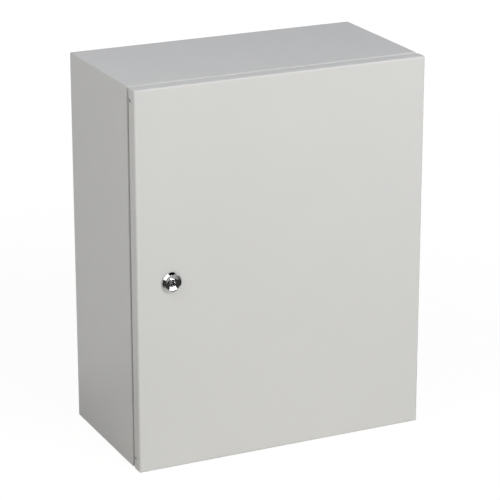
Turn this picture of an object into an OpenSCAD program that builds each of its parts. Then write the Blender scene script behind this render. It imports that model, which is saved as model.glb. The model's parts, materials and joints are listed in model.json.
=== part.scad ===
// Wall-mounting steel enclosure with a concealed-hinge door and a quarter-turn lock.
// X runs to the right, Y towards the wall and Z up.
// The origin is on the back face, at the centre of the four wall fixings.

/* [Enclosure] */
// Overall width
enclosure_w = 400; // [300:10:600]
// Overall height
enclosure_h = 500; // [300:10:800]
// Depth from the wall to the door's face
enclosure_d = 210; // [150:5:300]
// Sheet thickness of the body
body_sheet = 1.2; // [1:0.1:1.5]
// Inside radius of the folds in the body and the door
fold_r = 1; // [0.5:0.1:1.5]
// Outer radius of the ground, welded corners
corner_r = 2; // [1:0.25:3]

/* [Rain channel] */
// Width from the body's side to the outer face of the raised lip
channel_w = 19.5; // [19:0.5:24]
// Width of the sealing flange at the top of the lip
seal_flange_w = 8; // [7:0.5:12]
// Gap between the door's inside face and the sealing flange
seal_gap = 6.5; // [5:0.5:8]

/* [Door] */
// Sheet thickness of the door
door_sheet = 1.5; // [1.2:0.1:2]
// Depth of the door's returned edges
door_return = 16.5; // [15:0.5:18]
// Gap between the returned edges and the channel floor
door_gap = 6.5; // [4:0.5:9]
// Width of the foam gasket at its foot
gasket_w = 10; // [8:0.5:12]
// Space that the pressed gasket leaves to the sealing flange
gasket_clear = 0.3; // [0.1:0.1:0.5]
// Corner radius of the gasket's inner edge
gasket_corner_r = 3; // [2:0.5:8]

/* [Hinges] */
// Distance from the door's inside faces to the hinge axis
hinge_inset = 5; // [5:0.25:5.5]
// Space that the knuckles leave to the door
hinge_clear = 1; // [0.8:0.1:1.2]
// Hinge pin diameter
pin_d = 4; // [3:0.5:5]
// Radial running clearance of the pin
pin_clear = 0.05; // [0.03:0.01:0.1]
// Strip thickness of the body leaf
body_leaf_t = 2.5; // [2:0.25:2.5]
// Strip thickness of the door leaf
door_leaf_t = 2; // [1.5:0.25:2.5]
// Distance from the door's end to the fixing holes in its returned edges
return_hole_end = 15.5; // [14:0.5:17]
// Distance from the returned edge's rim to those holes
return_hole_rim = 3.5; // [3:0.25:4.5]
// Diameter of those holes
return_hole_d = 5; // [4:0.25:5]
// Length of the body leaf's foot along the channel
leaf_foot = 30; // [26:1:50]

/* [Lock] */
// Distance from the door's edge to the lock axis
lock_inset = 47; // [44:1:47]
// Bezel diameter
bezel_d = 27; // [25:0.5:30]
// Height of the bezel above the door
bezel_h = 5; // [4:0.25:7]
// Outer diameter of the threaded barrel
barrel_d = 20; // [18:0.5:20]
// Distance across the barrel's two flats
barrel_flats = 18; // [16:0.5:18]
// Diameter of the turning insert in the bezel
insert_d = 20.6; // [19:0.2:21.4]
// Diameter of the insert's shaft
shaft_d = 12; // [10:0.5:12.5]
// Length of the cam from the lock axis to its tip
cam_reach = 25; // [22:0.5:25]
// Width of the cam
cam_w = 14; // [12:0.5:16]
// Thickness of the cam
cam_t = 3; // [2:0.5:3]

/* [Mounting plate] */
// Sheet thickness of the mounting plate
plate_sheet = 2; // [1.5:0.5:3]
// Space from the plate's edges to the edges of the door opening
plate_margin = 7.5; // [5:0.5:20]
// Depth of the plate's folded edges
plate_fold = 10; // [6:1:13]
// Distance from the back panel to the plate
plate_standoff = 15; // [14:1:40]
// Distance from the plate's edges to its fixing studs
plate_stud_inset = 15; // [13:1:40]
// Thread diameter of the fixing studs
plate_stud_d = 8; // [6:1:8]

/* [Wall fixing] */
// Distance from the body's sides to the wall fixing holes
wall_hole_inset = 30; // [25:1:60]
// Diameter of the wall fixing holes
wall_hole_d = 8.5; // [6.5:0.5:10.5]
// Depth of the back panel's folded rim
back_rim = 12; // [8:1:20]

/* [Gland plate] */
// Distance from the body's sides to the cable opening in the bottom
gland_side = 80; // [70:5:120]
// Distance from the channel floor and from the wall to the cable opening
gland_end = 53.5; // [45:0.5:70]
// Sheet thickness of the gland plate
gland_sheet = 1.5; // [1:0.25:3]
// Width of the gland plate's rim on its gasket
gland_rim = 12; // [11:1:15]
// Thickness of the gland plate's gasket
gland_seal_t = 2; // [1:0.5:4]
// Thread diameter of the gland plate's studs
gland_stud_d = 5; // [4:1:5]

/* [Earthing] */
// Thread diameter of the earth studs
earth_stud_d = 6; // [5:1:8]
// Length of the earth studs
earth_stud_len = 15; // [12:1:18]
// Distance from the enclosure's sides to the earth studs
earth_inset = 48; // [48:1:52]

/* [Hidden] */
$fn = 64;

// Colours
paint_grey = [0.80, 0.80, 0.78];
zinc_grey = [0.72, 0.74, 0.76];
chrome_grey = [0.86, 0.87, 0.89];
foam_black = [0.16, 0.16, 0.17];
rubber_black = [0.09, 0.09, 0.10];

// Room that a cut runs past the face it opens
cut_over = 1;
// Flat steps in each quarter-round fold
fold_steps = 6;
// Flat steps round the gasket's dome
bead_steps = 10;
// Flat steps in each rounded edge of the lock
round_steps = 5;

// Planes along the depth
door_face_y = -enclosure_d;
door_inside_y = door_face_y + door_sheet;
return_rim_y = door_face_y + door_return;
channel_floor_y = return_rim_y + door_gap;
seal_face_y = door_inside_y + seal_gap;
seal_back_y = seal_face_y + body_sheet;
back_inside_y = -body_sheet;
plate_back_y = back_inside_y - plate_standoff;
plate_front_y = plate_back_y - plate_sheet;

// Insets from the enclosure's sides
flange_edge = channel_w + seal_flange_w;
gasket_outer = channel_w + seal_flange_w / 2 - gasket_w / 2;
opening_w = enclosure_w - 2 * flange_edge;
opening_h = enclosure_h - 2 * flange_edge;
half_w = enclosure_w / 2;
half_h = enclosure_h / 2;
floor_z = -half_h + body_sheet;

// Mounting plate
plate_w = opening_w - 2 * plate_margin;
plate_h = opening_h - 2 * plate_margin;
plate_stud_x = plate_w / 2 - plate_stud_inset;
plate_stud_z = plate_h / 2 - plate_stud_inset;
plate_hole_clear = 0.5;
plate_washer_r = plate_stud_d;
plate_washer_t = 1.6;
stud_end = 5;
spacer_wall = 2.5;
thread_clear = 0.05;
nut_face_share = 0.95;

// Hinge: the axis stands the same distance from both of the door's inside faces
hinge_x = half_w - door_sheet - hinge_inset;
hinge_y = door_inside_y + hinge_inset;
knuckle_r = hinge_inset - hinge_clear;
body_knuckle_start = 4;
body_knuckle_len = 6.5;
knuckle_gap = 0.3;
door_knuckle_len = 10.2;
body_leaf_h = 13;
door_leaf_tail = 7;
door_leaf_leg = 10;
leaf_step = 0.6;
riser_clear = 0.3;
riser_x = half_w - channel_w - riser_clear - body_leaf_t / 2;
foot_y = channel_floor_y - body_leaf_t / 2;
arm_y = hinge_y - knuckle_r + body_leaf_t / 2;
door_knuckle_start = body_knuckle_start + body_knuckle_len + knuckle_gap;
door_knuckle_end = door_knuckle_start + door_knuckle_len;
body_leaf_mid = body_knuckle_start + body_leaf_h / 2;
pin_head_t = 1.5;
pin_head_clear = 0.2;
pin_head_r = hinge_inset - door_leaf_t - pin_head_clear;
pin_end = 2.4;
ring_t = 0.6;
ring_wall = 1.2;
ring_groove = 0.4;
ring_gap = 0.1;
ring_mouth = 3;
hinge_stud_d = 5;
hinge_stud_pitch = 12;
hinge_stud_edge = 7;
hinge_stud_proud = 2;

// Door fixing screws, countersunk into the returned edge
leaf_screw_d = 4;
leaf_screw_head_r = 3.8;
leaf_screw_head_t = 1.4;
leaf_screw_len = 6;
leaf_screw_rebate = 0.1;
cross_slot_w = 0.9;
cross_slot_l = 4.2;
cross_slot_t = 0.8;
return_hole_y = return_rim_y - return_hole_rim;
return_hole_z = half_h - return_hole_end;

// Lock
lock_x = -half_w + lock_inset;
bezel_brim = 0.9;
bezel_rim = 0.6;
bezel_round = 0.4;
cup_bevel = 0.2;
lock_seal_t = 0.8;
lock_seal_step = 0.6;
lock_clear = 0.05;
seat_wall = 0.7;
barrel_len = 15;
barrel_end_y = door_face_y + barrel_len;
lock_nut_t = 5;
lock_nut_flats = 25;
dish_rim = 0.7;
dish_rim_w = 0.7;
dish_rim_round = 0.25;
dish_floor = 2.7;
dish_floor_w = 1.2;
dish_round = 5;
hub_r = 4.6;
hub_rise = 1.3;
hub_round = 0.45;
socket_r = 3.5;
socket_depth = 9;
bit_pin_d = 3;
bit_w = 1.2;
bit_span = 6;
bit_recess = 1.8;
cam_gap = 0.2;
cam_y = barrel_end_y + cam_gap + cam_t / 2;
cam_bite_gap = 0.8;
cam_bite_y = seal_back_y + cam_bite_gap + cam_t / 2;
cam_crank_gap = 1.2;
cam_crank_x = barrel_d / 2 + cam_crank_gap + cam_t / 2;
cam_hub_r = 8;
cam_corner_r = 3.5;
drive_w = 8;
drive_clear = 0.05;
drive_short = 0.2;
cam_washer_r = 7;
cam_washer_t = 1.5;
cam_screw_d = 5;
cam_screw_len = 8;
cam_screw_head_t = 3.5;

// Gland plate, seen from above
gland_w = enclosure_w - 2 * gland_side;
gland_d = -channel_floor_y - 2 * gland_end;
gland_y = channel_floor_y / 2;
gland_stud_x = gland_w / 2 + gland_rim / 2;
gland_stud_y = gland_d / 2 + gland_rim / 2;
gland_corner_r = 4;
gland_stud_proud = 2;

// Earthing
earth_washer_t = 1.2;
earth_washer_teeth = 12;
earth_tooth_gap = 1;
earth_tooth_l = 1.4;
body_earth_x = -half_w + earth_inset;
door_earth_x = half_w - earth_inset;
door_earth_z = -half_h + earth_inset;

// Standard width across flats and height of a nut for each thread diameter
function nut_flats(d) = lookup(d, [[4, 7], [5, 8], [6, 10], [8, 13]]);
function nut_height(d) = lookup(d, [[4, 3.2], [5, 4], [6, 5], [8, 6.5]]);

// Points of a rectangle with rounded corners
function rounded_rect(w, h, r) = [
  for (q = [0:3])
    for (k = [0:fold_steps])
      let (a = 90 * (q + k / fold_steps))
      let (sx = (q == 0 || q == 3) ? 1 : -1)
      let (sy = q < 2 ? 1 : -1)
      [sx * (w / 2 - r) + r * cos(a), sy * (h / 2 - r) + r * sin(a)]
];

// Direction from one point to the next, and the direction to its left
function along(a, b) = (b - a) / norm(b - a);
function left_of(u) = [-u.y, u.x];
function turn_of(u, v) = sign(u.x * v.y - u.y * v.x);

// One face of a folded sheet: side is 1 for the face on the left of the path and -1 for the right
function sheet_face(path, t, r, side) =
  let (last = len(path) - 1)
  [
    path[0] + side * t / 2 * left_of(along(path[0], path[1])),
    for (i = [1:1:last - 1])
      let (u = along(path[i - 1], path[i]))
      let (v = along(path[i], path[i + 1]))
      let (bend_r = r + t / 2)
      let (face_r = bend_r - side * turn_of(u, v) * t / 2)
      let (centre = path[i] + (v - u) * bend_r)
      for (k = [0:fold_steps])
        let (a = 90 * k / fold_steps)
        centre + face_r * (u * sin(a) - v * cos(a)),
    path[last] + side * t / 2 * left_of(along(path[last - 1], path[last]))
  ];

// Points of a corner at b, between a and c, rounded to the radius r
function rounded_corner(a, b, c, r) =
  let (u = along(b, a))
  let (v = along(b, c))
  let (half = acos(u * v) / 2)
  let (centre = b + (u + v) / norm(u + v) * r / sin(half))
  let (from = b + u * r / tan(half) - centre)
  let (to = b + v * r / tan(half) - centre)
  [
    for (k = [0:round_steps])
      let (mix = from * cos(90 * k / round_steps) + to * sin(90 * k / round_steps))
      centre + mix / norm(mix) * r
  ];

// Closed outline with each corner rounded to its own radius
function rounded_outline(points, radii) = [
  for (i = [0:len(points) - 1])
    let (before = points[(i + len(points) - 1) % len(points)])
    let (after = points[(i + 1) % len(points)])
    each radii[i] > 0 ? rounded_corner(before, points[i], after, radii[i]) : [points[i]]
];

// Section of a sheet folded at right angles along a path through the middle of its thickness
module sheet_section(path, t, r) {
  right = sheet_face(path, t, r, -1);
  polygon(concat(sheet_face(path, t, r, 1), [for (i = [len(right) - 1:-1:0]) right[i]]));
}

// Sweeps a section round a rectangle and mitres the corners. The section's x is the inset from
// the rectangle's edge, and its y is the place along the depth.
module mitred_frame(w, h, reach) {
  for (side = [0:3]) {
    run = side % 2 == 0 ? w : h;
    half = side % 2 == 0 ? h / 2 : w / 2;
    rotate([0, 90 * side, 0])
      intersection() {
        translate([-run / 2, 0, half])
          rotate([0, 90, 0])
            linear_extrude(run)
              children();
        translate([0, cut_over, 0])
          rotate([90, 0, 0])
            linear_extrude(enclosure_d + 2 * cut_over)
              polygon([
                [-run / 2 - cut_over, half + cut_over],
                [run / 2 + cut_over, half + cut_over],
                [run / 2 - reach, half - reach],
                [-run / 2 + reach, half - reach]
              ]);
      }
  }
}

// Sweeps a section round a rectangle whose corners have the outer radius r. The section's x is the
// inset from the rectangle's edge, and its y is the place along the depth.
module rounded_frame(w, h, r) {
  for (side = [0:3]) {
    run = (side % 2 == 0 ? w : h) / 2 - r;
    half = (side % 2 == 0 ? h : w) / 2;
    rotate([0, 90 * side, 0]) {
      translate([-run, 0, half])
        rotate([0, 90, 0])
          linear_extrude(2 * run)
            children();
      translate([run, 0, half - r])
        rotate([-90, 0, 0])
          rotate([0, 0, -90])
            rotate_extrude(angle = 90)
              translate([r, 0])
                mirror([1, 0])
                  children();
    }
  }
}

// Upright prism over an outline drawn in X and Z, from the depth y0 back to y1
module depth_prism(y0, y1) {
  translate([0, y1, 0])
    rotate([90, 0, 0])
      linear_extrude(y1 - y0)
        children();
}

// Cylinder along the depth from y0 back to y1
module depth_rod(r, y0, y1) {
  translate([0, y1, 0])
    rotate([90, 0, 0])
      cylinder(r = r, h = y1 - y0);
}

// Revolved piece whose profile gives the radius in x and the place along the depth in y
module depth_turned() {
  rotate([-90, 0, 0])
    rotate_extrude()
      children();
}

module hexagon(flats) {
  circle(d = flats / cos(30), $fn = 6);
}

// Hexagon standing on z = 0 with its corners chamfered at both ends
module hex_blank(flats, t) {
  face_r = nut_face_share * flats / 2;
  corner_r = flats / 2 / cos(30) + cut_over;
  rise = (corner_r - face_r) * tan(30);
  intersection() {
    linear_extrude(t)
      hexagon(flats);
    rotate_extrude()
      polygon([[0, 0], [face_r, 0], [corner_r, rise], [corner_r, t - rise], [face_r, t], [0, t]]);
  }
}

// Nut standing on z = 0
module hex_nut(thread_d, flats, t) {
  difference() {
    hex_blank(flats, t);
    translate([0, 0, -cut_over])
      cylinder(r = thread_d / 2 + thread_clear, h = t + 2 * cut_over);
  }
}

// Stands a piece drawn along +Z on the face at depth y, so that it points to the front
module facing_front(y) {
  translate([0, y, 0])
    rotate([90, 0, 0])
      children();
}

// Four copies at the corners of a rectangle in X and Z
module at_corners(x, z) {
  for (sx = [-1, 1])
    for (sz = [-1, 1])
      translate([sx * x, 0, sz * z])
        children();
}

// The upper piece and its mirror image at the bottom
module upper_and_lower() {
  children();
  mirror([0, 0, 1])
    children();
}

// ---------------------------------------------------------------- body

module body_wrap() {
  half_t = body_sheet / 2;
  profile = [
    [half_t, 0],
    [half_t, channel_floor_y + half_t],
    [channel_w + half_t, channel_floor_y + half_t],
    [channel_w + half_t, seal_face_y + half_t],
    [flange_edge, seal_face_y + half_t]
  ];
  color(paint_grey)
    difference() {
      intersection() {
        mitred_frame(enclosure_w, enclosure_h, flange_edge + cut_over)
          sheet_section(profile, body_sheet, fold_r);
        depth_prism(door_face_y, cut_over)
          polygon(rounded_rect(enclosure_w, enclosure_h, corner_r));
      }
      translate([0, gland_y, -half_h - cut_over])
        linear_extrude(body_sheet + 2 * cut_over)
          polygon(rounded_rect(gland_w, gland_d, gland_corner_r));
    }
}

module back_panel() {
  panel_w = enclosure_w - 2 * body_sheet;
  panel_h = enclosure_h - 2 * body_sheet;
  half_t = body_sheet / 2;
  web = back_rim;
  color(paint_grey)
    difference() {
      union() {
        mitred_frame(panel_w, panel_h, web)
          sheet_section([[web, -half_t], [half_t, -half_t], [half_t, -back_rim]], body_sheet, fold_r);
        translate([-panel_w / 2 + web - cut_over, back_inside_y, -panel_h / 2 + web - cut_over])
          cube([panel_w - 2 * (web - cut_over), body_sheet, panel_h - 2 * (web - cut_over)]);
      }
      at_corners(half_w - wall_hole_inset, half_h - wall_hole_inset)
        depth_rod(wall_hole_d / 2, -body_sheet - cut_over, cut_over);
    }
}

module plate_studs() {
  color(zinc_grey)
    at_corners(plate_stud_x, plate_stud_z)
      depth_rod(plate_stud_d / 2, plate_front_y - plate_washer_t - nut_height(plate_stud_d) - stud_end,
        back_inside_y);
}

module plate_spacers() {
  bore_r = plate_stud_d / 2 + plate_hole_clear / 2;
  color(zinc_grey)
    at_corners(plate_stud_x, plate_stud_z)
      difference() {
        depth_rod(bore_r + spacer_wall, plate_back_y, back_inside_y);
        depth_rod(bore_r, plate_back_y - cut_over, back_inside_y + cut_over);
      }
}

module mounting_plate() {
  half_t = plate_sheet / 2;
  edge_x = plate_w / 2 - half_t;
  face_y = plate_front_y + half_t;
  rim_y = plate_front_y + plate_fold;
  color(zinc_grey)
    difference() {
      translate([0, 0, -plate_h / 2])
        linear_extrude(plate_h)
          sheet_section(
            [[-edge_x, rim_y], [-edge_x, face_y], [edge_x, face_y], [edge_x, rim_y]],
            plate_sheet, fold_r
          );
      at_corners(plate_stud_x, plate_stud_z)
        depth_rod((plate_stud_d + plate_hole_clear) / 2, plate_front_y - cut_over, plate_back_y + cut_over);
    }
}

module plate_washers() {
  color(zinc_grey)
    at_corners(plate_stud_x, plate_stud_z)
      difference() {
        depth_rod(plate_washer_r, plate_front_y - plate_washer_t, plate_front_y);
        depth_rod((plate_stud_d + plate_hole_clear) / 2, plate_front_y - plate_washer_t - cut_over,
          plate_front_y + cut_over);
      }
}

module plate_nuts() {
  color(zinc_grey)
    at_corners(plate_stud_x, plate_stud_z)
      facing_front(plate_front_y - plate_washer_t)
        hex_nut(plate_stud_d, nut_flats(plate_stud_d), nut_height(plate_stud_d));
}

// ---------------------------------------------------------------- gland plate

// The studs stand at the corners and at the middle of the long sides
module at_gland_studs() {
  for (sx = [-1, 0, 1])
    for (sy = [-1, 1])
      translate([sx * gland_stud_x, gland_y + sy * gland_stud_y, 0])
        children();
}

// A flat piece of the gland plate's outline with its stud holes
module gland_blank(z, t) {
  difference() {
    translate([0, gland_y, z])
      linear_extrude(t)
        polygon(rounded_rect(gland_w + 2 * gland_rim, gland_d + 2 * gland_rim, gland_corner_r));
    at_gland_studs()
      translate([0, 0, z - cut_over])
        cylinder(d = gland_stud_d + plate_hole_clear, h = t + 2 * cut_over);
  }
}

module gland_gasket() {
  color(foam_black)
    difference() {
      gland_blank(floor_z, gland_seal_t);
      translate([0, gland_y, floor_z - cut_over])
        linear_extrude(gland_seal_t + 2 * cut_over)
          polygon(rounded_rect(gland_w, gland_d, gland_corner_r));
    }
}

module gland_plate() {
  color(zinc_grey)
    gland_blank(floor_z + gland_seal_t, gland_sheet);
}

module gland_studs() {
  color(zinc_grey)
    at_gland_studs()
      translate([0, 0, floor_z])
        cylinder(
          d = gland_stud_d,
          h = gland_seal_t + gland_sheet + nut_height(gland_stud_d) + gland_stud_proud
        );
}

module gland_nuts() {
  color(zinc_grey)
    at_gland_studs()
      translate([0, 0, floor_z + gland_seal_t + gland_sheet])
        hex_nut(gland_stud_d, nut_flats(gland_stud_d), nut_height(gland_stud_d));
}

// ---------------------------------------------------------------- earthing

// An earth stud standing along +Z with its toothed lock washer and nut
module earth_stud() {
  cylinder(d = earth_stud_d, h = earth_stud_len);
}

module earth_washer() {
  linear_extrude(earth_washer_t)
    difference() {
      circle(r = earth_stud_d);
      circle(d = earth_stud_d + plate_hole_clear);
      for (i = [0:earth_washer_teeth - 1])
        rotate(360 * i / earth_washer_teeth)
          translate([earth_stud_d - earth_tooth_l, -earth_tooth_gap / 2])
            square([earth_tooth_l + cut_over, earth_tooth_gap]);
    }
}

module earth_nut() {
  translate([0, 0, earth_washer_t])
    hex_nut(earth_stud_d, nut_flats(earth_stud_d), nut_height(earth_stud_d));
}

module at_body_earth() {
  translate([body_earth_x, gland_y, floor_z])
    children();
}

module at_door_earth() {
  translate([door_earth_x, door_inside_y, door_earth_z])
    rotate([-90, 0, 0])
      children();
}

module body_earth_stud() {
  color(zinc_grey) at_body_earth() earth_stud();
}

module body_earth_washer() {
  color(zinc_grey) at_body_earth() earth_washer();
}

module body_earth_nut() {
  color(zinc_grey) at_body_earth() earth_nut();
}

module door_earth_stud() {
  color(zinc_grey) at_door_earth() earth_stud();
}

module door_earth_washer() {
  color(zinc_grey) at_door_earth() earth_washer();
}

module door_earth_nut() {
  color(zinc_grey) at_door_earth() earth_nut();
}

// ---------------------------------------------------------------- hinges

// Places a piece drawn with its z as the distance down from the enclosure's top edge
module below_top(from) {
  translate([0, 0, half_h - from])
    children();
}

// Flat outline in X and Y made into a piece that reaches from one distance below the top edge
// down to another
module hinge_slice(from, to) {
  below_top(to)
    linear_extrude(to - from)
      children();
}

module at_hinge_studs() {
  for (i = [0, 1])
    translate([
      riser_x + body_leaf_t / 2 - leaf_foot + hinge_stud_edge + i * hinge_stud_pitch,
      0,
      half_h - body_leaf_mid
    ])
      children();
}

// The goose-neck strip: foot on the channel floor, riser past the lip, arm close behind the door
// and a knuckle round the pin
module body_leaf() {
  foot_start_x = riser_x + body_leaf_t / 2 - leaf_foot;
  neck = [
    [foot_start_x, foot_y],
    [riser_x, foot_y],
    [riser_x, arm_y],
    [hinge_x, arm_y]
  ];
  leaf_end = body_knuckle_start + body_leaf_h;
  arm_end = body_knuckle_start + body_knuckle_len;
  shoulder_x = riser_x + body_leaf_t / 2 + leaf_step;
  difference() {
    union() {
      hinge_slice(body_knuckle_start, leaf_end)
        sheet_section(neck, body_leaf_t, fold_r);
      hinge_slice(body_knuckle_start, arm_end)
        translate([hinge_x, hinge_y])
          circle(r = knuckle_r);
    }
    translate([shoulder_x, door_face_y, half_h - leaf_end - cut_over])
      cube([hinge_x - shoulder_x + cut_over, enclosure_d, leaf_end - arm_end + cut_over]);
    translate([hinge_x, hinge_y, half_h - arm_end - cut_over])
      cylinder(r = pin_d / 2 + pin_clear, h = body_knuckle_len + 2 * cut_over);
    at_hinge_studs()
      depth_rod((hinge_stud_d + plate_hole_clear) / 2, channel_floor_y - body_leaf_t - cut_over,
        channel_floor_y + cut_over);
  }
}

module upper_body_leaf() {
  color(zinc_grey) body_leaf();
}

module lower_body_leaf() {
  color(zinc_grey) mirror([0, 0, 1]) body_leaf();
}

module hinge_studs() {
  color(zinc_grey)
    upper_and_lower()
      at_hinge_studs()
        depth_rod(hinge_stud_d / 2,
          channel_floor_y - body_leaf_t - nut_height(hinge_stud_d) - hinge_stud_proud, channel_floor_y);
}

module hinge_nuts() {
  color(zinc_grey)
    upper_and_lower()
      at_hinge_studs()
        facing_front(channel_floor_y - body_leaf_t)
          hex_nut(hinge_stud_d, nut_flats(hinge_stud_d), nut_height(hinge_stud_d));
}

// Headed pin put in from the middle of the door and held by a ring at its end
module hinge_pin() {
  ring_from = body_knuckle_start - ring_gap - ring_t;
  translate([hinge_x, hinge_y, 0])
    difference() {
      union() {
        below_top(door_knuckle_end)
          cylinder(d = pin_d, h = door_knuckle_end - pin_end);
        below_top(door_knuckle_end + pin_head_t)
          cylinder(r = pin_head_r, h = pin_head_t);
      }
      below_top(ring_from + ring_t)
        difference() {
          cylinder(d = pin_d + cut_over, h = ring_t);
          translate([0, 0, -cut_over])
            cylinder(r = pin_d / 2 - ring_groove, h = ring_t + 2 * cut_over);
        }
    }
}

module upper_hinge_pin() {
  color(zinc_grey) hinge_pin();
}

module lower_hinge_pin() {
  color(zinc_grey) mirror([0, 0, 1]) hinge_pin();
}

module hinge_pin_rings() {
  ring_r = pin_d / 2 - ring_groove;
  ring_from = body_knuckle_start - ring_gap - ring_t;
  color(zinc_grey)
    upper_and_lower()
      translate([hinge_x, hinge_y, 0])
        below_top(ring_from + ring_t)
          difference() {
            cylinder(r = pin_d / 2 + ring_wall, h = ring_t);
            translate([0, 0, -cut_over])
              cylinder(r = ring_r, h = ring_t + 2 * cut_over);
            translate([-ring_mouth / 2, 0, -cut_over])
              cube([ring_mouth, pin_d, ring_t + 2 * cut_over]);
          }
}

// The door leaf: an angle in the corner of the door with a knuckle below the body leaf's
module door_leaf() {
  half_t = door_leaf_t / 2;
  web_x = half_w - door_sheet - half_t;
  leg_y = door_inside_y + half_t;
  leaf_end = door_knuckle_end + door_leaf_tail;
  difference() {
    union() {
      hinge_slice(door_knuckle_start, leaf_end)
        sheet_section(
          [[web_x, return_rim_y - leaf_step], [web_x, leg_y], [hinge_x - door_leaf_leg, leg_y]],
          door_leaf_t, fold_r
        );
      hinge_slice(door_knuckle_start, door_knuckle_end)
        translate([hinge_x, hinge_y])
          circle(r = knuckle_r);
    }
    translate([hinge_x, hinge_y, half_h - door_knuckle_end - cut_over])
      cylinder(r = pin_d / 2 + pin_clear, h = door_knuckle_len + 2 * cut_over);
    translate([half_w, return_hole_y, return_hole_z])
      rotate([0, -90, 0])
        cylinder(r = leaf_screw_d / 2 + thread_clear, h = leaf_screw_len + cut_over);
  }
}

module upper_door_leaf() {
  color(zinc_grey) door_leaf();
}

module lower_door_leaf() {
  color(zinc_grey) mirror([0, 0, 1]) door_leaf();
}

module door_leaf_screws() {
  color(zinc_grey)
    upper_and_lower()
      translate([half_w, return_hole_y, return_hole_z])
        rotate([0, -90, 0])
          difference() {
            union() {
              cylinder(d = leaf_screw_d, h = leaf_screw_len);
              cylinder(r1 = leaf_screw_head_r, r2 = leaf_screw_d / 2, h = leaf_screw_head_t);
            }
            translate([0, 0, cross_slot_t / 2])
              for (a = [0, 90])
                rotate(a)
                  cube([cross_slot_l, cross_slot_w, cross_slot_t], center = true);
          }
}

// ---------------------------------------------------------------- door

module door_panel() {
  half_t = door_sheet / 2;
  web = door_return;
  face = [[web, door_face_y + half_t], [half_t, door_face_y + half_t], [half_t, return_rim_y]];
  color(paint_grey)
    difference() {
      union() {
        intersection() {
          mitred_frame(enclosure_w, enclosure_h, web)
            sheet_section(face, door_sheet, fold_r);
          depth_prism(door_face_y - cut_over, return_rim_y + cut_over)
            polygon(rounded_rect(enclosure_w, enclosure_h, corner_r));
        }
        translate([-half_w + web - cut_over, door_face_y, -half_h + web - cut_over])
          cube([enclosure_w - 2 * (web - cut_over), door_sheet, enclosure_h - 2 * (web - cut_over)]);
      }
      translate([lock_x, 0, 0])
        depth_prism(door_face_y - cut_over, door_inside_y + cut_over)
          lock_outline(lock_clear);
      upper_and_lower()
        translate([-half_w - cut_over, return_hole_y, return_hole_z])
          rotate([0, 90, 0])
            cylinder(d = return_hole_d, h = door_sheet + 2 * cut_over);
      upper_and_lower()
        translate([half_w, return_hole_y, return_hole_z])
          rotate([0, -90, 0]) {
            cylinder(r = leaf_screw_d / 2 + leaf_screw_rebate, h = door_sheet + cut_over);
            cylinder(r1 = leaf_screw_head_r + leaf_screw_rebate, r2 = leaf_screw_d / 2 + leaf_screw_rebate,
              h = leaf_screw_head_t);
          }
    }
}

// Foam bead with a domed section, poured in place in one run round the door
module door_gasket() {
  bead_h = seal_gap - gasket_clear;
  bead = [
    for (k = [0:bead_steps])
      let (a = 180 * k / bead_steps)
      [gasket_w / 2 * (1 - cos(a)), door_inside_y + bead_h * sin(a)]
  ];
  color(foam_black)
    rounded_frame(
      enclosure_w - 2 * gasket_outer, enclosure_h - 2 * gasket_outer, gasket_corner_r + gasket_w
    )
      polygon(bead);
}

// ---------------------------------------------------------------- lock

// Round barrel with two flats that stop it turning in the door
module lock_outline(grow) {
  intersection() {
    circle(d = barrel_d + 2 * grow);
    square([barrel_d + 2 * cut_over, barrel_flats + 2 * grow], center = true);
  }
}

module lock_housing() {
  cup_r = insert_d / 2 + lock_clear;
  bezel_front_y = door_face_y - bezel_h;
  bezel_back_y = door_face_y - lock_seal_t;
  bezel_r = bezel_d / 2;
  seat_y = bezel_front_y + dish_floor + seat_wall;
  color(chrome_grey)
    translate([lock_x, 0, 0])
      difference() {
        union() {
          depth_turned()
            polygon(rounded_outline(
              [
                [0, bezel_back_y],
                [bezel_r, bezel_back_y],
                [bezel_r, bezel_back_y - bezel_brim],
                [cup_r + bezel_rim, bezel_front_y],
                [0, bezel_front_y]
              ],
              [0, 0, bezel_round, bezel_round, 0]
            ));
          depth_prism(bezel_back_y, barrel_end_y)
            lock_outline(0);
        }
        depth_turned()
          polygon([
            [0, bezel_front_y - cut_over],
            [cup_r + cup_bevel + cut_over, bezel_front_y - cut_over],
            [cup_r, bezel_front_y + cup_bevel],
            [cup_r, seat_y],
            [0, seat_y]
          ]);
        depth_rod(shaft_d / 2 + lock_clear, bezel_front_y, barrel_end_y + cut_over);
      }
}

module lock_seal() {
  color(rubber_black)
    translate([lock_x, 0, 0])
      difference() {
        depth_rod(bezel_d / 2 - lock_seal_step, door_face_y - lock_seal_t, door_face_y);
        depth_prism(door_face_y - lock_seal_t - cut_over, door_face_y + cut_over)
          lock_outline(lock_clear);
      }
}

module lock_nut() {
  color(zinc_grey)
    translate([lock_x, 0, 0])
      facing_front(door_inside_y + lock_nut_t)
        hex_nut(barrel_d, lock_nut_flats, lock_nut_t);
}

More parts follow.
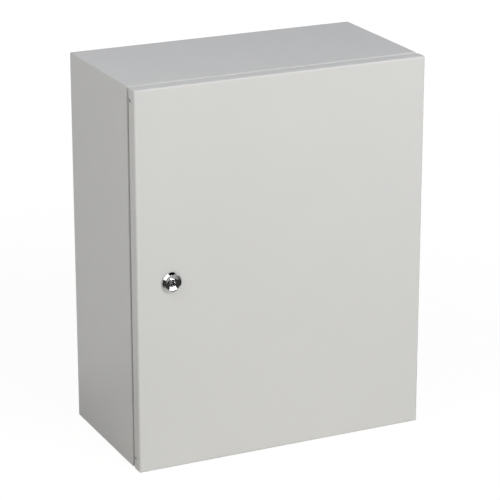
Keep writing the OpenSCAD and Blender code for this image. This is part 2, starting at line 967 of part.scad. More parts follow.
// Turning core: a dished face with a hub and a double-bit socket, a shaft and a square drive
module lock_insert() {
  bezel_front_y = door_face_y - bezel_h;
  face_r = insert_d / 2;
  rim_y = bezel_front_y + dish_rim;
  floor_y = bezel_front_y + dish_floor;
  seat_y = bezel_front_y + dish_floor + seat_wall - lock_clear;
  hub_y = floor_y - hub_rise;
  drive_end_y = cam_y + cam_t / 2 - drive_short;
  bit_y = hub_y + bit_recess;
  socket_y = hub_y + socket_depth;
  color(chrome_grey)
    translate([lock_x, 0, 0])
      difference() {
        union() {
          difference() {
            depth_turned()
              polygon(rounded_outline(
                [
                  [0, hub_y],
                  [hub_r, hub_y],
                  [hub_r, floor_y],
                  [hub_r + dish_floor_w, floor_y],
                  [face_r - dish_rim_w, rim_y],
                  [face_r, rim_y],
                  [face_r, seat_y],
                  [0, seat_y]
                ],
                [0, hub_round, 0, dish_round, dish_rim_round, dish_rim_round, 0, 0]
              ));
            depth_rod(socket_r, hub_y - cut_over, seat_y + cut_over);
          }
          depth_rod(shaft_d / 2, socket_y, barrel_end_y + cam_gap);
          difference() {
            depth_rod(shaft_d / 2, floor_y + seat_wall / 2, socket_y + cut_over);
            depth_rod(socket_r, hub_y, socket_y);
          }
          depth_rod(bit_pin_d / 2, bit_y, socket_y + cut_over);
          depth_prism(bit_y + bit_w, socket_y + cut_over)
            square([bit_span, bit_w], center = true);
          depth_prism(barrel_end_y, drive_end_y)
            square(drive_w, center = true);
        }
        depth_rod(cam_screw_d / 2 + thread_clear, drive_end_y - cam_screw_len, drive_end_y + cut_over);
      }
}

// Cranked tongue, hanging down in the released position
module lock_cam() {
  neck = [
    [-cam_hub_r, cam_y],
    [cam_crank_x, cam_y],
    [cam_crank_x, cam_bite_y],
    [cam_reach, cam_bite_y]
  ];
  color(zinc_grey)
    translate([lock_x, 0, 0])
      rotate([0, 90, 0])
        difference() {
          intersection() {
            translate([0, 0, -cam_w / 2])
              linear_extrude(cam_w)
                sheet_section(neck, cam_t, fold_r);
            depth_prism(door_face_y, 0)
              polygon(rounded_rect(2 * cam_reach, cam_w, cam_corner_r));
          }
          depth_prism(door_face_y, 0)
            square(drive_w + 2 * drive_clear, center = true);
        }
}

module cam_washer() {
  washer_y = cam_y + cam_t / 2;
  color(zinc_grey)
    translate([lock_x, 0, 0])
      difference() {
        depth_rod(cam_washer_r, washer_y, washer_y + cam_washer_t);
        depth_rod((cam_screw_d + plate_hole_clear) / 2, washer_y - cut_over,
          washer_y + cam_washer_t + cut_over);
      }
}

module cam_screw() {
  head_y = cam_y + cam_t / 2 + cam_washer_t;
  color(zinc_grey)
    translate([lock_x, 0, 0]) {
      depth_rod(cam_screw_d / 2, head_y - cam_screw_len, head_y);
      facing_front(head_y + cam_screw_head_t)
        hex_blank(nut_flats(cam_screw_d), cam_screw_head_t);
    }
}

body_wrap();
back_panel();
plate_studs();
plate_spacers();
mounting_plate();
plate_washers();
plate_nuts();
gland_gasket();
gland_plate();
gland_studs();
gland_nuts();
body_earth_stud();
body_earth_washer();
body_earth_nut();
hinge_studs();
hinge_nuts();
upper_body_leaf();
lower_body_leaf();
upper_hinge_pin();
lower_hinge_pin();
hinge_pin_rings();
door_panel();
door_gasket();
upper_door_leaf();
lower_door_leaf();
door_leaf_screws();
door_earth_stud();
door_earth_washer();
door_earth_nut();
lock_housing();
lock_seal();
lock_nut();
lock_insert();
lock_cam();
cam_washer();
cam_screw();
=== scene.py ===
"""Looks of the steel wall enclosure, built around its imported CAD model. Units are metres."""

import json
import math

import bmesh
import bpy
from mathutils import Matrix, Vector


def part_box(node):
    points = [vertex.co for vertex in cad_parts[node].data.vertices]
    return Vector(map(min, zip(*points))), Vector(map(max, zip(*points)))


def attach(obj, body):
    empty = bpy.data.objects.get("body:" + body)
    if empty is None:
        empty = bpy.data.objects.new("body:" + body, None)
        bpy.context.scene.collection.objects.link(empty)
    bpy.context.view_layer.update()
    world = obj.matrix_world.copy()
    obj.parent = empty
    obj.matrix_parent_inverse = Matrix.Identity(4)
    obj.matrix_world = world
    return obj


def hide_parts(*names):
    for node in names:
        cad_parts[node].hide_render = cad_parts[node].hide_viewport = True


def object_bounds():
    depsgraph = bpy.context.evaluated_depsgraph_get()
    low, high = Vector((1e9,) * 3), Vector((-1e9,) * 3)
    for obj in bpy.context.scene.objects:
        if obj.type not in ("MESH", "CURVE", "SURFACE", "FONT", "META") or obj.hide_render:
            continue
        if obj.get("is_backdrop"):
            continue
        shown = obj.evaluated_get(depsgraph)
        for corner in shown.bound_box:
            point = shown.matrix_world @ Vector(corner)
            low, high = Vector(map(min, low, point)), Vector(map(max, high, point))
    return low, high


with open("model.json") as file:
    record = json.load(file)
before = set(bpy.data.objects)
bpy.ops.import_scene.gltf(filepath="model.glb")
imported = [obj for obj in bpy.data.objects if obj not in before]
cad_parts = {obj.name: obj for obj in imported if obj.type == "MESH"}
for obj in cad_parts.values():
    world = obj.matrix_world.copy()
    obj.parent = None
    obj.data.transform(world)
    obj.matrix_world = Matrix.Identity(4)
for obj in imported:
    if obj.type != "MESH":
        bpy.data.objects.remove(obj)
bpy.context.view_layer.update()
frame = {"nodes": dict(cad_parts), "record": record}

MM = 0.001
UP = Vector((0, 0, 1))
TO_WALL = Vector((0, 1, 0))
TO_FRONT = Vector((0, -1, 0))

# ---------------------------------------------------------------- camera

VIEW_YAW = math.radians(25.35)
VIEW_PITCH = math.radians(18.84)
CAMERA_FROM_DOOR_CORNER = Vector((-1.035, -2.510, 1.224))
LENS_MM = 168.5
SENSOR_MM = 36.0


def add_camera():
    """Looks at the door from its lock side and from above, through a long lens."""
    low, _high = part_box("door_panel")
    data = bpy.data.cameras.new("view_camera")
    data.lens = LENS_MM
    data.sensor_width = SENSOR_MM
    camera = bpy.data.objects.new("view_camera", data)
    camera.location = low + CAMERA_FROM_DOOR_CORNER
    camera.rotation_euler = (math.pi / 2 - VIEW_PITCH, 0.0, -VIEW_YAW)
    bpy.context.scene.collection.objects.link(camera)
    bpy.context.scene.camera = camera


# ---------------------------------------------------------------- shader helpers

def clear_tree(owner):
    owner.use_nodes = True
    owner.node_tree.nodes.clear()
    return owner.node_tree


def put(tree, kind, inputs=None, **settings):
    """Adds a node. Inputs are given by name or number, as a value or as another node's output."""
    node = tree.nodes.new("ShaderNode" + kind)
    for name, value in settings.items():
        setattr(node, name, value)
    for name, value in (inputs or {}).items():
        if isinstance(value, bpy.types.NodeSocket):
            tree.links.new(value, node.inputs[name])
        else:
            node.inputs[name].default_value = value
    return node


def maths(tree, operation, first, second):
    return put(tree, "Math", {0: first, 1: second}, operation=operation).outputs[0]


def grey(level):
    return (level, level, level, 1.0)


def blended(tree, share, shader, other):
    mixed = put(tree, "MixShader", {0: share, 1: shader, 2: other})
    return mixed.outputs[0]


# ---------------------------------------------------------------- studio

AMBIENT = (0.25, 0.265, 0.34, 1.0)
STUDIO_DARK = 0.04
STUDIO_WHITE = 1.0
FLOOR_COLOUR = (0.78, 0.76, 0.72, 1.0)
FLOOR_SHARE = 0.86
FLOOR_GLOW = (1.08, 1.2)
GLOW_REACH = (0.5, 2.5)
FLOOR_SIZE = 60
FLOOR_GAP = 0.5 * MM
TABLE_EDGE = (0.30, 0.60)
TABLE_WHITE = 0.45


def set_world():
    """Soft cool light from above and a white background. Gloss sees that white behind the object, and
    a dim studio in front of it and above."""
    world = bpy.data.worlds.new("studio")
    bpy.context.scene.world = world
    tree = clear_tree(world)
    path = put(tree, "LightPath")
    direction = put(tree, "SeparateXYZ", {0: put(tree, "TexCoord").outputs["Generated"]})
    behind = put(tree, "MapRange", {
        "Value": direction.outputs["Y"], "From Min": 0.0, "From Max": 0.4,
        "To Min": STUDIO_DARK, "To Max": STUDIO_WHITE,
    })
    overhead = put(tree, "MapRange", {
        "Value": direction.outputs["Z"], "From Min": 0.35, "From Max": 0.75,
        "To Min": 1.0, "To Max": STUDIO_DARK,
    })
    studio_level = maths(tree, "MULTIPLY", behind.outputs[0], overhead.outputs[0])
    skylight = put(tree, "MapRange", {
        "Value": direction.outputs["Z"], "From Min": 0.1, "From Max": 0.8, "To Min": 0.0, "To Max": 1.0,
    })
    ambient = put(tree, "Background", {"Color": AMBIENT, "Strength": skylight.outputs[0]})
    studio = put(tree, "Background", {"Color": grey(1), "Strength": studio_level})
    seen = put(tree, "Background", {"Color": grey(1), "Strength": 1.0})
    lit = blended(tree, path.outputs["Is Glossy Ray"], ambient.outputs[0], studio.outputs[0])
    clear = maths(tree, "MAXIMUM", path.outputs["Is Camera Ray"], path.outputs["Is Transmission Ray"])
    shown = blended(tree, clear, lit, seen.outputs[0])
    put(tree, "OutputWorld", {"Surface": shown})


def add_floor():
    """A pale floor that keeps a faint shadow. Gloss sees it as a white sweep that runs on behind the
    object and ends in the dark in front of it."""
    low, _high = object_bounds()
    bpy.ops.mesh.primitive_plane_add(size=FLOOR_SIZE, location=(0, 0, low[2] - FLOOR_GAP))
    floor = bpy.context.object
    floor.name = "floor"
    mat = bpy.data.materials.new("pale_floor")
    tree = clear_tree(mat)
    path = put(tree, "LightPath")
    place = put(tree, "TexCoord").outputs["Object"]
    distance = put(tree, "VectorMath", {0: place}, operation="LENGTH")
    table = put(tree, "MapRange", {
        "Value": distance.outputs["Value"], "From Min": TABLE_EDGE[0], "From Max": TABLE_EDGE[1],
        "To Min": TABLE_WHITE, "To Max": STUDIO_DARK,
    })
    sweep = put(tree, "MapRange", {
        "Value": put(tree, "SeparateXYZ", {0: place}).outputs["Y"], "From Min": -0.1, "From Max": 0.2,
        "To Min": STUDIO_DARK, "To Max": STUDIO_WHITE,
    })
    table_level = maths(tree, "MAXIMUM", table.outputs[0], sweep.outputs[0])
    diffuse = put(tree, "BsdfDiffuse", {"Color": FLOOR_COLOUR})
    glow_level = put(tree, "MapRange", {
        "Value": distance.outputs["Value"], "From Min": GLOW_REACH[0], "From Max": GLOW_REACH[1],
        "To Min": FLOOR_GLOW[0], "To Max": FLOOR_GLOW[1],
    })
    glow = put(tree, "Emission", {"Color": grey(1), "Strength": glow_level.outputs[0]})
    table_glow = put(tree, "Emission", {"Color": grey(1), "Strength": table_level})
    clear = maths(tree, "MAXIMUM", path.outputs["Is Camera Ray"], path.outputs["Is Transmission Ray"])
    seen = blended(
        tree, maths(tree, "MULTIPLY", clear, FLOOR_SHARE), diffuse.outputs[0], glow.outputs[0]
    )
    surface = blended(tree, path.outputs["Is Glossy Ray"], seen, table_glow.outputs[0])
    put(tree, "OutputMaterial", {"Surface": surface})
    floor.data.materials.append(mat)
    floor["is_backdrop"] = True


def add_softbox(name, direction, distance, size, watts, colour=(1, 1, 1)):
    """A rectangular soft light that faces the middle of the object."""
    low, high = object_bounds()
    target = (low + high) / 2
    data = bpy.data.lights.new(name, "AREA")
    data.shape = "RECTANGLE"
    data.size, data.size_y = size
    data.energy = watts
    data.color = colour
    light = bpy.data.objects.new(name, data)
    light.location = target + Vector(direction).normalized() * distance
    light.rotation_euler = (target - light.location).to_track_quat("-Z", "Y").to_euler()
    light.visible_camera = False
    bpy.context.scene.collection.objects.link(light)


# ---------------------------------------------------------------- materials

def new_finish(name, roughness, metallic=0.0):
    mat = bpy.data.materials.new(name)
    tree = clear_tree(mat)
    shader = put(tree, "BsdfPrincipled", {"Roughness": roughness, "Metallic": metallic})
    put(tree, "OutputMaterial", {"Surface": shader.outputs[0]})
    place = put(tree, "TexCoord").outputs["Object"]
    return mat, tree, shader, place


def noise(tree, place, scale, detail=2.0, stretch=(1, 1, 1)):
    """Noise with its cell size given by scale, in cells a metre, and stretched along an axis."""
    mapped = put(tree, "Mapping", {"Vector": place, "Scale": stretch})
    return put(
        tree, "TexNoise", {"Vector": mapped.outputs[0], "Scale": scale, "Detail": detail}
    ).outputs["Fac"]


def ranged(tree, value, low, high, start=0.3, end=0.7):
    node = put(tree, "MapRange", {
        "Value": value, "From Min": start, "From Max": end, "To Min": low, "To Max": high,
    })
    return node.outputs[0]


def between(tree, share, colour, other):
    """Colour that goes from one to another as share goes from 0 to 1."""
    node = put(tree, "Mix", data_type="RGBA")
    tree.links.new(share, node.inputs["Factor"])
    colour_inputs = [socket for socket in node.inputs if socket.type == "RGBA"]
    for socket, value in zip(colour_inputs, (colour, other)):
        socket.default_value = (*value, 1.0)
    return [socket for socket in node.outputs if socket.type == "RGBA"][0]


def add_bump(tree, shader, height, distance, strength):
    bump = put(tree, "Bump", {"Height": height, "Distance": distance, "Strength": strength})
    tree.links.new(bump.outputs[0], shader.inputs["Normal"])


def powder_coat(name, base):
    """Semi-matt light grey powder coat with a fine orange peel."""
    mat, tree, shader, place = new_finish(name, 0.45)
    shade = ranged(tree, noise(tree, place, 9, 3), 0, 1)
    darker = tuple(level * 0.988 for level in base)
    tree.links.new(between(tree, shade, darker, base), shader.inputs["Base Color"])
    tree.links.new(ranged(tree, noise(tree, place, 60), 0.42, 0.48), shader.inputs["Roughness"])
    peel = maths(
        tree, "ADD", noise(tree, place, 620, 1), maths(tree, "MULTIPLY", noise(tree, place, 1900), 0.4)
    )
    add_bump(tree, shader, peel, 0.05 * MM, 0.35)
    return mat


def galvanised(name):
    """Zinc-coated sheet with a small spangle."""
    mat, tree, shader, place = new_finish(name, 0.4, 1.0)
    crystals = put(tree, "TexVoronoi", {"Vector": place, "Scale": 85})
    crystal = put(tree, "SeparateColor", {0: crystals.outputs["Color"]}).outputs[0]
    cloud = noise(tree, place, 25, 4)
    share = maths(tree, "ADD", maths(tree, "MULTIPLY", crystal, 0.6), maths(tree, "MULTIPLY", cloud, 0.4))
    colour = between(tree, share, (0.52, 0.535, 0.55), (0.68, 0.69, 0.70))
    tree.links.new(colour, shader.inputs["Base Color"])
    tree.links.new(ranged(tree, share, 0.30, 0.50, 0, 1), shader.inputs["Roughness"])
    add_bump(tree, shader, crystal, 0.03 * MM, 0.2)
    return mat


def zinc_plate(name):
    """Bright zinc plate, with a faint blue and straw tint."""
    mat, tree, shader, place = new_finish(name, 0.28, 1.0)
    tint = ranged(tree, noise(tree, place, 140, 3), 0, 1)
    colour = between(tree, tint, (0.60, 0.60, 0.585), (0.63, 0.645, 0.665))
    tree.links.new(colour, shader.inputs["Base Color"])
    tree.links.new(ranged(tree, noise(tree, place, 500, 3), 0.22, 0.36), shader.inputs["Roughness"])
    add_bump(tree, shader, noise(tree, place, 1400), 0.02 * MM, 0.25)
    return mat


def pressed_steel(name):
    """Plated strip with the fine lines that rolling leaves."""
    mat, tree, shader, place = new_finish(name, 0.32, 1.0)
    lines = noise(tree, place, 260, 4, (1, 1, 0.04))
    colour = between(tree, ranged(tree, lines, 0, 1), (0.50, 0.51, 0.525), (0.60, 0.61, 0.62))
    tree.links.new(colour, shader.inputs["Base Color"])
    tree.links.new(ranged(tree, lines, 0.26, 0.42), shader.inputs["Roughness"])
    add_bump(tree, shader, lines, 0.02 * MM, 0.3)
    return mat


def chrome_plate(name):
    """Polished chrome with the slight waviness of a die casting."""
    mat, tree, shader, place = new_finish(name, 0.05, 1.0)
    smudge = ranged(tree, noise(tree, place, 180, 3), 0, 1)
    colour = between(tree, smudge, (0.80, 0.80, 0.81), (0.84, 0.84, 0.85))
    tree.links.new(colour, shader.inputs["Base Color"])
    tree.links.new(ranged(tree, smudge, 0.04, 0.09, 0, 1), shader.inputs["Roughness"])
    add_bump(tree, shader, noise(tree, place, 420, 1), 0.02 * MM, 0.12)
    return mat


def foam_skin(name):
    """Matt skin of poured foam, with fine pores."""
    mat, tree, shader, place = new_finish(name, 0.8)
    pores = put(tree, "TexVoronoi", {"Vector": place, "Scale": 1500}).outputs["Distance"]
    colour = between(tree, ranged(tree, noise(tree, place, 300, 3), 0, 1), (0.016, 0.016, 0.017),
                     (0.032, 0.032, 0.034))
    tree.links.new(colour, shader.inputs["Base Color"])
    tree.links.new(ranged(tree, pores, 0.7, 0.9, 0, 1), shader.inputs["Roughness"])
    add_bump(tree, shader, pores, 0.12 * MM, 0.5)
    return mat


def moulded_rubber(name):
    """Black moulded rubber with a faint bloom."""
    mat, tree, shader, place = new_finish(name, 0.55)
    bloom = ranged(tree, noise(tree, place, 220, 3), 0, 1)
    colour = between(tree, bloom, (0.012, 0.012, 0.013), (0.024, 0.024, 0.025))
    tree.links.new(colour, shader.inputs["Base Color"])
    tree.links.new(ranged(tree, bloom, 0.5, 0.65, 0, 1), shader.inputs["Roughness"])
    add_bump(tree, shader, noise(tree, place, 900), 0.03 * MM, 0.2)
    return mat


PAINT = (0.655, 0.655, 0.635)
MATERIALS = {
    "body_paint": powder_coat("body_paint", PAINT),
    "door_paint": powder_coat("door_paint", PAINT),
    "galvanised_plate": galvanised("galvanised_plate"),
    "chrome": chrome_plate("chrome"),
    "zinc_plated": zinc_plate("zinc_plated"),
    "cam_steel": pressed_steel("cam_steel"),
    "foam": foam_skin("foam"),
    "seal_rubber": moulded_rubber("seal_rubber"),
}
SLOT_OF = {entry["node"]: entry["material_slot"] for entry in frame["record"]["subparts"]}
BODY_OF = {
    node: body for body, nodes in frame["record"]["behaviour"]["bodies"].items() for node in nodes
}


def dress_cad_nodes():
    for name, slot_name in SLOT_OF.items():
        mesh = frame["nodes"][name].data
        mesh.materials.clear()
        mesh.materials.append(MATERIALS[slot_name])


# ---------------------------------------------------------------- detailed pieces

# Shares of the pitch: the thread's depth, and where its root and its crest start and end.
# The bevel at the tip is a share of the depth.
THREAD_DEPTH = 0.61
THREAD_BEVEL = 1.1
THREAD_PHASES = (-0.10, 0.10, 0.44, 0.56)

def add_piece(name, vertices, faces, node, smooth_degrees=35):
    """Makes a mesh that stands for a CAD node: it takes the node's body, slot and finish."""
    mesh = bpy.data.meshes.new(name)
    mesh.from_pydata([tuple(vertex) for vertex in vertices], [], faces)
    shape = bmesh.new()
    shape.from_mesh(mesh)
    bmesh.ops.remove_doubles(shape, verts=shape.verts, dist=0.004 * MM)
    bmesh.ops.dissolve_degenerate(shape, edges=shape.edges, dist=0.002 * MM)
    bmesh.ops.recalc_face_normals(shape, faces=shape.faces)
    shape.to_mesh(mesh)
    shape.free()
    mesh.polygons.foreach_set("use_smooth", [True] * len(mesh.polygons))
    mesh.set_sharp_from_angle(angle=math.radians(smooth_degrees))
    mesh.materials.append(MATERIALS[SLOT_OF[node]])
    piece = bpy.data.objects.new(name, mesh)
    bpy.context.scene.collection.objects.link(piece)
    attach(piece, BODY_OF[node])
    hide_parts(node)
    return piece


class Shell:
    """Collects the vertices and faces of one piece, in a frame that stands at origin along axis."""

    def __init__(self, origin, axis, across):
        self.vertices = []
        self.faces = []
        self.stand_at(origin, axis, across)

    def stand_at(self, origin, axis, across):
        self.origin = Vector(origin)
        self.axis = Vector(axis)
        self.across = Vector(across)
        self.side = self.axis.cross(self.across)

    def ring(self, points):
        """Adds points given as (across, side, along) and returns their numbers."""
        first = len(self.vertices)
        for x, y, z in points:
            self.vertices.append(self.origin + self.across * x + self.side * y + self.axis * z)
        return list(range(first, len(self.vertices)))

    def skin(self, rings, closed=True):
        """Joins each ring to the next. closed joins the end of each ring to its start."""
        for lower, upper in zip(rings, rings[1:]):
            count = len(lower)
            for k in range(count if closed else count - 1):
                after = (k + 1) % count
                self.faces.append((lower[k], lower[after], upper[after], upper[k]))

    @staticmethod
    def circle(radius, along, steps, clip=None):
        """Points of a circle. clip gives the largest radius at an angle."""
        points = []
        for k in range(steps):
            angle = 2 * math.pi * k / steps
            r = min(radius, clip(angle)) if clip else radius
            points.append((r * math.cos(angle), r * math.sin(angle), along))
        return points

    def lathe(self, profile, steps=64):
        """Revolves a closed profile of (radius, along)."""
        self.skin([self.ring(self.circle(r, along, steps)) for r, along in profile + profile[:1]])

    def prism(self, outline, start, end):
        """Closed prism over an outline of (across, side)."""
        low = self.ring([(x, y, start) for x, y in outline])
        high = self.ring([(x, y, end) for x, y in outline])
        self.skin([low, high])
        self.faces.append(tuple(reversed(low)))
        self.faces.append(tuple(high))

    def thread(self, radius, pitch, start, end, steps=32, bore=0.0, clip=None):
        """Threaded rod from start to end with a bevel at both ends. Its rows follow the helix."""
        depth = THREAD_DEPTH * pitch
        bevel = THREAD_BEVEL * depth
        root = radius - depth
        levels = list(zip(THREAD_PHASES, (root, root, radius, radius)))
        turns = math.ceil((end - start) / pitch)
        rows = []
        for turn in range(-1, turns + 2):
            for phase, level in levels:
                row = []
                for k in range(steps + 1):
                    angle = 2 * math.pi * k / steps
                    z = start + (turn + phase + k / steps) * pitch
                    z = min(max(z, start), end)
                    r = min(level, radius - bevel + min(z - start, end - z))
                    if clip:
                        r = min(r, clip(angle))
                    row.append((r * math.cos(angle), r * math.sin(angle), z))
                rows.append(self.ring(row))
        self.skin(rows, closed=False)
        for z in (start, end):
            rim = self.ring(self.circle(radius - bevel, z, steps, clip))
            if bore:
                self.skin([rim, self.ring(self.circle(bore, z, steps))])
            else:
                self.faces.append(tuple(rim))
        if bore:
            self.skin([self.ring(self.circle(bore, z, steps)) for z in (start, end)])


def rounded(points, radius_at, steps=6):
    """Closed profile whose corners are rounded. radius_at gives a radius for each corner."""
    result = []
    count = len(points)
    for i, (point, radius) in enumerate(zip(points, radius_at)):
        here = Vector(point)
        if radius == 0:
            result.append(tuple(here))
            continue
        back = (Vector(points[i - 1]) - here).normalized()
        ahead = (Vector(points[(i + 1) % count]) - here).normalized()
        half = back.angle(ahead) / 2
        centre = here + (back + ahead).normalized() * radius / math.sin(half)
        start = here + back * radius / math.tan(half) - centre
        finish = here + ahead * radius / math.tan(half) - centre
        for k in range(steps + 1):
            turn = math.pi / 2 * k / steps
            spoke = (start * math.cos(turn) + finish * math.sin(turn)).normalized() * radius
            result.append(tuple(centre + spoke))
    return result


def middle(node):
    low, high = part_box(node)
    return (low + high) / 2


def add_studs(name, node, axis, radius, pitch, rows):
    """Threaded studs at the corners of the node's box, with rows places along its longer side."""
    low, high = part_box(node)
    along = max(range(3), key=lambda i: abs(axis[i]))
    wide, narrow = [i for i in range(3) if i != along]
    length = high[along] - low[along]
    shell = None
    for i in range(rows):
        for end in (0, 1):
            foot = Vector(low if axis[along] > 0 else high)
            foot[wide] = low[wide] + radius + (high[wide] - low[wide] - 2 * radius) * i / max(rows - 1, 1)
            foot[narrow] = (high[narrow] - radius) if end else (low[narrow] + radius)
            if shell is None:
                shell = Shell(foot, axis, UP if abs(axis.z) < 0.5 else Vector((1, 0, 0)))
            else:
                shell.stand_at(foot, shell.axis, shell.across)
            shell.thread(radius, pitch, 0.0, length)
    add_piece(name, shell.vertices, shell.faces, node)


def add_single_stud(name, node, axis, radius, pitch):
    """Threaded stud that fills the node's box along its axis."""
    low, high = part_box(node)
    along = max(range(3), key=lambda i: abs(axis[i]))
    foot = middle(node)
    foot[along] = low[along] if axis[along] > 0 else high[along]
    shell = Shell(foot, axis, UP if abs(axis.z) < 0.5 else Vector((1, 0, 0)))
    shell.thread(radius, pitch, 0.0, high[along] - low[along])
    add_piece(name, shell.vertices, shell.faces, node)


def add_lock_housing():
    """Bezel with a conical band and a rounded crest, and the threaded barrel with its two flats."""
    low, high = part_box("lock_housing")
    front = Vector((middle("lock_housing").x, low.y, middle("lock_housing").z))
    outer = (high.x - low.x) / 2
    length = high.y - low.y
    cup = 10.35 * MM
    back = 4.2 * MM
    bore = 6.05 * MM
    flat = 9.0 * MM
    floor = 3.4 * MM
    shell = Shell(front, TO_WALL, Vector((1, 0, 0)))
    profile = rounded(
        [
            (bore, floor), (cup, floor), (cup, 0.25 * MM), (cup + 0.2 * MM, 0), (cup + 0.6 * MM, 0),
            (outer, back - 0.9 * MM), (outer, back), (bore, back)
        ],
        [0, 0, 0, 0, 0.35 * MM, 0.35 * MM, 0.15 * MM, 0], 8
    )
    shell.lathe(profile, 128)

    def flats(angle):
        """The two flats lie above and below the axis."""
        return flat / max(abs(math.sin(angle)), 1e-6)

    shell.thread(10.0 * MM, 1.5 * MM, back - 0.4 * MM, length, 96, bore, flats)
    add_piece("lock_bezel_and_barrel", shell.vertices, shell.faces, "lock_housing", 30)


def add_lock_insert():
    """Dished insert with a hub and a double-bit socket, on a shaft with a square drive."""
    _low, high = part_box("lock_insert")
    spot = middle("lock_insert")
    bezel_low, _bezel_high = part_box("lock_housing")
    face = bezel_low.y
    shell = Shell((spot.x, face, spot.z), TO_WALL, Vector((1, 0, 0)))
    radius = 10.28 * MM
    rim = 0.75 * MM
    dish = 2.7 * MM
    hub = 1.45 * MM
    socket = 3.5 * MM
    socket_end = hub + 9.0 * MM
    shaft = 5.98 * MM
    shaft_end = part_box("lock_cam")[0].y - face
    profile = rounded(
        [
            (socket, hub), (4.6 * MM, hub), (4.75 * MM, dish), (5.8 * MM, dish),
            (radius - 0.7 * MM, rim), (radius, rim), (radius, dish + 0.6 * MM), (shaft, dish + 0.6 * MM),
            (shaft, socket_end + 0.5 * MM), (socket, socket_end)
        ],
        [0.2 * MM, 0.45 * MM, 0.3 * MM, 5.0 * MM, 0.25 * MM, 0.25 * MM, 0, 0, 0, 0], 10
    )
    shell.lathe(profile, 128)
    shell.lathe([(0, socket_end - 0.05 * MM), (shaft, socket_end), (shaft, shaft_end), (0, shaft_end)], 48)
    pin = 1.5 * MM
    bit_face = hub + 1.8 * MM
    shell.lathe(rounded(
        [(0, bit_face), (pin, bit_face), (pin, socket_end), (0, socket_end)], [0, 0.25 * MM, 0, 0], 6
    ), 48)
    web, half_web = 3.0 * MM, 0.6 * MM
    web_outline = rounded(
        [(-web, -half_web), (web, -half_web), (web, half_web), (-web, half_web)], [0.2 * MM] * 4, 4
    )
    shell.prism(web_outline, bit_face + 1.2 * MM, socket_end)
    drive = 4.0 * MM
    drive_outline = rounded(
        [(-drive, -drive), (drive, -drive), (drive, drive), (-drive, drive)], [0.3 * MM] * 4, 4
    )
    shell.prism(drive_outline, shaft_end - 0.3 * MM, high.y - face)
    add_piece("lock_dished_insert", shell.vertices, shell.faces, "lock_insert", 30)


def add_cam_screw():
    """Short threaded screw with a chamfered hexagon head."""
    low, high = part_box("cam_screw")
    spot = middle("cam_screw")
    head = 3.5 * MM
    shell = Shell((spot.x, low.y, spot.z), TO_WALL, UP)
    reach = high.y - low.y
    shell.thread(2.5 * MM, 0.8 * MM, 0.0, reach - head + 0.2 * MM)
    across = 4.0 * MM

    def hexagon(angle):
        """Distance from the axis to the side of the head."""
        return across / math.cos((angle + math.pi / 6) % (math.pi / 3) - math.pi / 6)

    rings = [
        shell.ring(shell.circle(limit * MM, reach - below * MM, 72, hexagon))
        for below, limit in ((3.5, 3.8), (3.32, 4.1), (3.1, 9), (0.4, 9), (0.18, 4.1), (0, 3.75))
    ]
    shell.skin(rings)
    shell.faces.append(tuple(rings[0]))
    shell.faces.append(tuple(rings[-1]))
    add_piece("cam_hex_screw", shell.vertices, shell.faces, "cam_screw")


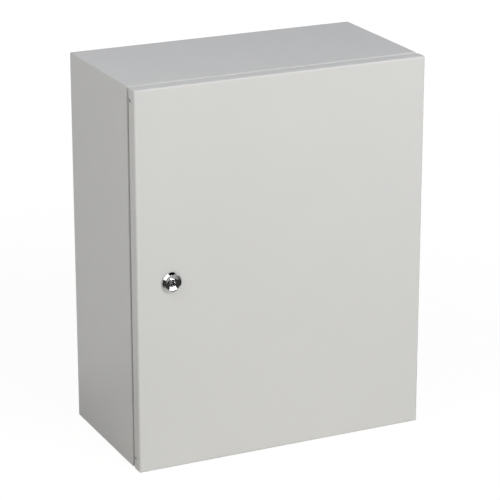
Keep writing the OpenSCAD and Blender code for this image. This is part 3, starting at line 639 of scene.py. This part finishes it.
def add_gasket():
    """Poured foam bead: one dome all round, with the slight unevenness of the pouring."""
    low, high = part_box("door_gasket")
    base = low.y
    height = high.y - low.y
    width = 10.0 * MM
    corner = 13.0 * MM
    half_w = (high.x - low.x) / 2
    half_h = (high.z - low.z) / 2
    centre = middle("door_gasket")
    path = []
    for quarter in range(4):
        sx = (1, -1, -1, 1)[quarter]
        sz = (1, 1, -1, -1)[quarter]
        pivot = (sx * (half_w - corner), sz * (half_h - corner))
        for k in range(13):
            angle = math.pi / 2 * (quarter + k / 12)
            path.append((pivot, (math.cos(angle), math.sin(angle))))
        next_sx = (1, -1, -1, 1)[(quarter + 1) % 4]
        next_sz = (1, 1, -1, -1)[(quarter + 1) % 4]
        target = (next_sx * (half_w - corner), next_sz * (half_h - corner))
        count = 60
        for k in range(1, count):
            share = k / count
            spot = (pivot[0] + (target[0] - pivot[0]) * share, pivot[1] + (target[1] - pivot[1]) * share)
            path.append((spot, path[-1][1]))
    shell = Shell((0, 0, 0), UP, Vector((1, 0, 0)))
    rings = []
    steps = 16
    run = 0.0
    for i, (pivot, (dx, dz)) in enumerate(path):
        run += (Vector(pivot) - Vector(path[i - 1][0])).length + 1.5 * MM
        wave = 0.5 + 0.25 * math.sin(run / 0.021) + 0.25 * math.sin(run / 0.0083 + 1.3)
        lean = 0.5 + 0.5 * math.sin(run / 0.034 + 0.7)
        top = height * (0.955 + 0.045 * wave)
        outer = corner - 0.35 * MM * lean
        inner = corner - width + 0.35 * MM * (1 - lean)
        ring = []
        for k in range(steps + 1):
            turn = math.pi * k / steps
            reach = (outer + inner) / 2 + (outer - inner) / 2 * math.cos(turn)
            x = centre.x + pivot[0] + dx * reach
            z = centre.z + pivot[1] + dz * reach
            ring.append(Vector((x, base + top * math.sin(turn), z)))
        first = len(shell.vertices)
        shell.vertices.extend(ring)
        rings.append(list(range(first, first + steps + 1)))
    shell.skin(rings + rings[:1])
    add_piece("poured_foam_gasket", shell.vertices, shell.faces, "door_gasket", 60)


# ---------------------------------------------------------------- build

add_camera()
set_world()
add_floor()
dress_cad_nodes()
add_studs("plate_threaded_studs", "plate_studs", TO_FRONT, 4.0 * MM, 1.25 * MM, 2)
add_studs("gland_threaded_studs", "gland_studs", UP, 2.5 * MM, 0.8 * MM, 3)
add_studs("hinge_threaded_studs", "hinge_studs", TO_FRONT, 2.5 * MM, 0.8 * MM, 2)
add_single_stud("body_earth_threaded_stud", "body_earth_stud", UP, 3.0 * MM, 1.0 * MM)
add_single_stud("door_earth_threaded_stud", "door_earth_stud", TO_WALL, 3.0 * MM, 1.0 * MM)
add_lock_housing()
add_lock_insert()
add_cam_screw()
add_gasket()
add_softbox("left_softbox", (-0.70, -0.23, 0.67), 2.2, (1.4, 2.2), 18.5, (1.0, 0.98, 0.91))
add_softbox("front_softbox", (0.30, -0.83, 0.46), 2.6, (2.6, 2.1), 53.5, (1.0, 0.998, 0.985))

bpy.context.scene.view_settings.view_transform = "Standard"
